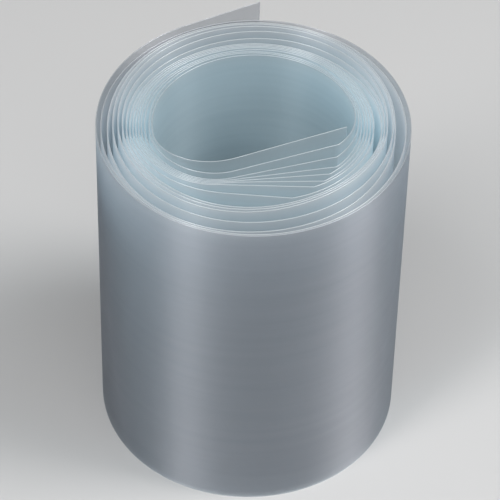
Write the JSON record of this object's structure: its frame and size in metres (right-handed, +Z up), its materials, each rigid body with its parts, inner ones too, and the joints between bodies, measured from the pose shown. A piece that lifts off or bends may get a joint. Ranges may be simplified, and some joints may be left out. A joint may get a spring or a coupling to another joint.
{
  "type": "heat shrink tube",
  "caption": "Clear heat shrink tube pressed flat and wound into a loose roll that stands on its edge, to be cut to length and shrunk over cells, cables or joints.",
  "frame": {"origin": "under the middle of the box round the roll and its loose outer end, on the surface it stands on", "axes": "+Z up along the roll's axis, -Y towards the side where the flat leaves cross the bore, +Y towards the loose outer end"},
  "size_m": [0.0566, 0.062, 0.07],
  "materials": {
    "clear_film": "satin, see-through with a blue-white tint"
  },
  "bodies": {
    "root": {"heat_shrink_tube": "clear_film"}
  },
  "joints": []
}
